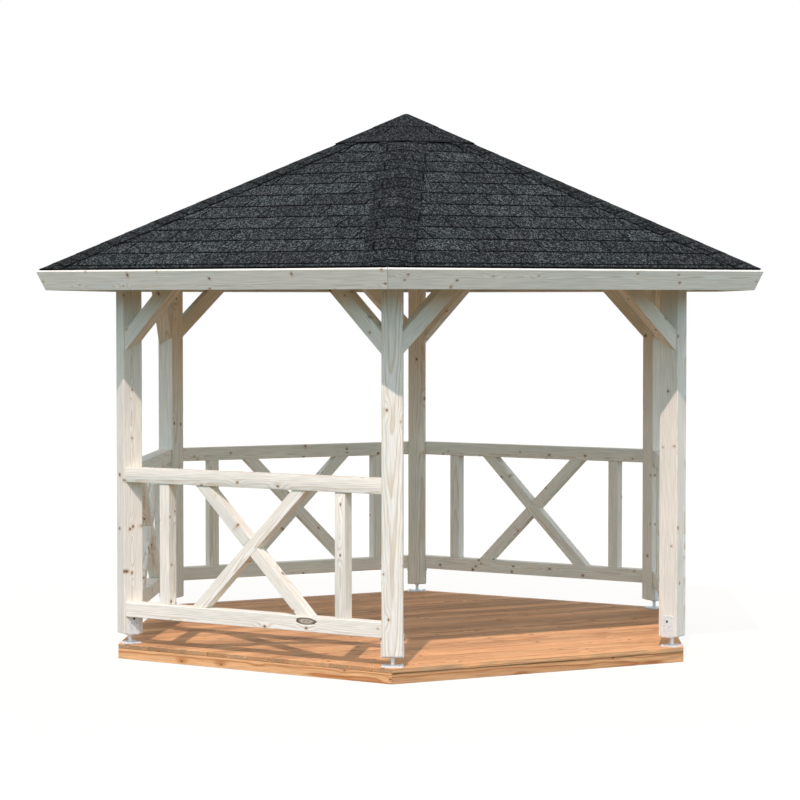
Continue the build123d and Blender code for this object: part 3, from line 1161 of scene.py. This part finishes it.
def cradle(bottom, width):  # one strip bent up both sides of the post
    height = foot["cradleThickness"] + foot["cheekHeight"]
    strip = block((foot["cheekWidth"], width, height), (0, 0, bottom))
    ends = [f for f in strip.faces if abs(f.normal.x) > 0.5 or f.normal.z > 0.5]
    bmesh.ops.delete(strip, geom=ends, context="FACES_ONLY")
    folds = [e for e in strip.edges if len(e.link_faces) == 2]
    soften(strip, folds, foot["bend"], segments=4)
    corners = [vert for vert in strip.verts if abs(vert.co.z - bottom - height) < 1e-6]
    soften(strip, corners, foot["cheekCorner"], segments=4, affect="VERTICES")
    bmesh.ops.recalc_face_normals(strip, faces=strip.faces)
    outside = max(strip.faces, key=lambda face: face.calc_center_median().y)
    if outside.normal.y < 0:
        bmesh.ops.reverse_faces(strip, faces=strip.faces)
    bmesh.ops.solidify(strip, geom=everything(strip), thickness=foot["cheekThickness"])
    return strip


def steelFoot(name, angle):
    low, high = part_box(f"post_foot_{name}")
    ground = low.z
    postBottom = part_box(f"post_{name}")[0].z
    cradleBottom = postBottom - foot["cradleThickness"]
    side = foot["postSize"] / 2 + foot["cheekThickness"]
    plate = block((foot["length"], foot["width"], foot["thickness"]), (0, 0, ground))
    soften(plate, [e for e in plate.edges if upright(e)], foot["corner"], segments=4)
    soften(plate, [e for e in plate.edges if not upright(e)], foot["arris"])
    top = ground + foot["thickness"]
    solids = [plate]
    for hand in (-1, 1):
        for end in (-1, 1):
            at = (foot["screwAt"][0] * end, foot["screwAt"][1] * hand, top)
            solids.append(roundBar(foot["screwRadius"], foot["screwHeight"], at, 6, foot["headArris"]))
    solids.append(roundBar(foot["rodRadius"], cradleBottom - top, (0, 0, top)))
    under = (0, 0, cradleBottom - foot["nutHeight"])
    solids.append(roundBar(foot["nutRadius"], foot["nutHeight"], under, 6, foot["headArris"]))
    solids.append(cradle(cradleBottom, 2 * side))
    for solid in solids:
        mark(solid, 0.0)
    for hand in (-1, 1):
        sideways = Matrix.Translation((0, side * hand, 0)) @ Matrix.Rotation(radians(-90 * hand), 4, "X")
        bolt = roundBar(foot["boltRadius"], foot["boltHeight"], (0, 0, 0), 12, foot["headArris"])
        bolt.transform(Matrix.Translation((0, 0, postBottom + foot["boltUp"])) @ sideways)
        mark(bolt, 1.0)
        solids.append(bolt)
        for end in (-1, 1):
            nail = roundBar(foot["nailRadius"], foot["nailHeight"], (0, 0, 0), 12)
            place = (foot["nailAt"][0] * end, 0, postBottom + foot["nailAt"][1])
            nail.transform(Matrix.Translation(place) @ sideways)
            mark(nail, foot["nailDark"])
            solids.append(nail)
    middle = (low + high) / 2
    stood = Matrix.Translation((middle.x, middle.y, 0)) @ Matrix.Rotation(radians(angle), 4, "Z")
    for solid in solids:
        solid.transform(stood)
        solid.normal_update()
    makePiece(f"post_foot_{name}_steel", solids, zinc, [f"post_foot_{name}"])


zinc = zincMaterial(zincLook)
for angle, name in postNames.items():
    steelFoot(name, angle)
print("feet made")


# A plain floor, a soft light all round, cool and brightest a little over the horizon, and a warmer sun.
stage = {
    "floorSize": 60,
    "floor": "#5E5848",  # dull, so that little light comes back up
    "floorGlow": 0.9,  # brings it up to white for the camera alone
    "sky": [  # by the sine of the height
        (0.05, "#7C7059"),
        (0.12, "#BDEAFF"),
        (0.28, "#BDEAFF"),
        (0.36, "#BCBBC6"),
    ],
    "skyStrength": 1.8,
    "sun": "#FFEDEB",
    "sunStrength": 2.51,
    "sunSpread": radians(0.8),
    "sunHeight": radians(52.1),
    "sunHeading": Vector((0.582, 0.813, 0)),
}


def seen(tree):  # one for what the camera sees, straight or in metal and glass
    path = addNode(tree, "LightPath").outputs
    either = addNode(
        tree, "Math", {"operation": "MAXIMUM"}, {0: path["Is Camera Ray"], 1: path["Is Glossy Ray"]}
    ).outputs[0]
    return addNode(
        tree, "Math", {"operation": "MAXIMUM"}, {0: either, 1: path["Is Transmission Ray"]}
    ).outputs[0]


def makeStage():
    material, tree = newMaterial("plainFloor")
    matt = addNode(tree, "BsdfDiffuse", {"Color": linear(stage["floor"])})
    glow = addNode(tree, "Emission", {"Color": (1, 1, 1, 1), "Strength": stage["floorGlow"]})
    both = addNode(tree, "AddShader", links={0: matt.outputs[0], 1: glow.outputs[0]})
    mixed = addNode(tree, "MixShader", links={0: seen(tree), 1: matt.outputs[0], 2: both.outputs[0]})
    addNode(tree, "OutputMaterial", links={"Surface": mixed.outputs[0]})
    ground = bmesh.new()
    bmesh.ops.create_grid(ground, x_segments=1, y_segments=1, size=stage["floorSize"] / 2)
    mesh = bpy.data.meshes.new("floor")
    ground.to_mesh(mesh)
    ground.free()
    mesh.materials.append(material)
    floorPiece = bpy.data.objects.new("floor", mesh)
    bpy.context.scene.collection.objects.link(floorPiece)

    world = bpy.data.worlds.new("studio")
    bpy.context.scene.world = world
    world.use_nodes = True
    tree = world.node_tree
    tree.nodes.clear()
    heading = addNode(tree, "TexCoord").outputs["Generated"]
    height = addNode(tree, "SeparateXYZ", links={"Vector": heading}).outputs["Z"]
    sky = addNode(tree, "ValToRGB", links={"Fac": height})
    setStops(sky, stage["sky"])
    strength = stage["skyStrength"]
    soft = addNode(tree, "Background", {"Strength": strength}, {"Color": sky.outputs["Color"]})
    white = addNode(tree, "Background", {"Color": (1, 1, 1, 1), "Strength": 1})
    mixed = addNode(tree, "MixShader", links={0: seen(tree), 1: soft.outputs[0], 2: white.outputs[0]})
    addNode(tree, "OutputWorld", links={"Surface": mixed.outputs[0]})

    lamp = bpy.data.lights.new("sun", "SUN")
    lamp.energy = stage["sunStrength"]
    lamp.color = linear(stage["sun"])[:3]
    lamp.angle = stage["sunSpread"]
    sun = bpy.data.objects.new("sun", lamp)
    heading = stage["sunHeading"].normalized() * cos(stage["sunHeight"]) - up * sin(stage["sunHeight"])
    sun.rotation_euler = heading.to_track_quat("-Z", "Y").to_euler()
    bpy.context.scene.collection.objects.link(sun)


# The camera stands well off to the front left, a little over eye height, and looks almost level.
view = {
    "lens": 114.60,
    "sensor": 36,
    "place": (-7.184, -13.707, 2.054),
    "tilt": radians(87.790),
    "turn": radians(-27.519),
    "farthest": 200,
}

makeStage()
lens = bpy.data.cameras.new("camera")
lens.lens = view["lens"]
lens.sensor_width = view["sensor"]
lens.clip_end = view["farthest"]
camera = bpy.data.objects.new("camera", lens)
camera.location = view["place"]
camera.rotation_euler = (view["tilt"], 0, view["turn"])
bpy.context.scene.collection.objects.link(camera)
bpy.context.scene.camera = camera
bpy.context.scene.view_settings.view_transform = "Standard"
